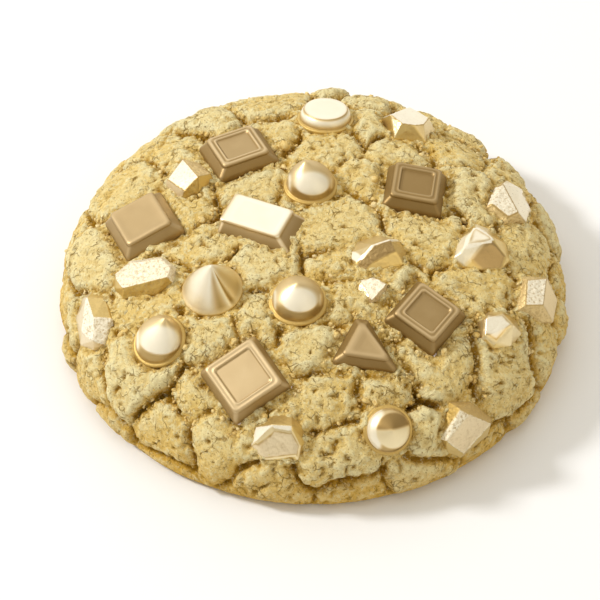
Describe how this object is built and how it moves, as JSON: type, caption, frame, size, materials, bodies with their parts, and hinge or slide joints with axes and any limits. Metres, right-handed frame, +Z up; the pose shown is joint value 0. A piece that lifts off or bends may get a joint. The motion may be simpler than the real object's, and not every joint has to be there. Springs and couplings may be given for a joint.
{
  "type": "chocolate chip cookie",
  "caption": "Thick domed cookie with a cracked, craggy top set with chocolate tablets, drops and broken chunks; flat underside.",
  "frame": {"origin": "middle of the flat underside", "axes": "+Z up out of the crust; -Y towards the side that the front tablet and front drop lie on"},
  "size_m": [0.1005, 0.101, 0.0315],
  "materials": {
    "crust": "matt, crumbly, pale gold",
    "chocolate_dark": "satin, deep gold",
    "chocolate_light": "satin, sand gold",
    "chocolate_pale": "glossy, pale gold",
    "chocolate_rough": "broken, pale gold with a fine grain"
  },
  "bodies": {
    "root": {"dough": "crust", "tablet_back_left": "chocolate_dark", "tablet_left": "chocolate_light", "tablet_front": "chocolate_light", "tablet_right": "chocolate_dark", "tablet_back_right": "chocolate_dark", "tablet_triangle": "chocolate_dark", "bar_middle": "chocolate_pale", "button_back": "chocolate_pale", "drop_back": "chocolate_pale", "drop_left_pleated": "chocolate_pale", "drop_middle": "chocolate_pale", "drop_left": "chocolate_pale", "drop_front": "chocolate_pale", "chunk_back_left": "chocolate_rough", "chunk_back_right": "chocolate_rough", "chunk_middle": "chocolate_pale", "chunk_small": "chocolate_rough", "chunk_right_back": "chocolate_rough", "chunk_right_edge": "chocolate_rough", "chunk_front_right": "chocolate_rough", "chunk_left": "chocolate_rough", "chunk_left_edge": "chocolate_rough", "chunk_front": "chocolate_pale", "chunk_right": "chocolate_pale", "chunk_right_front": "chocolate_pale"}
  },
  "joints": []
}
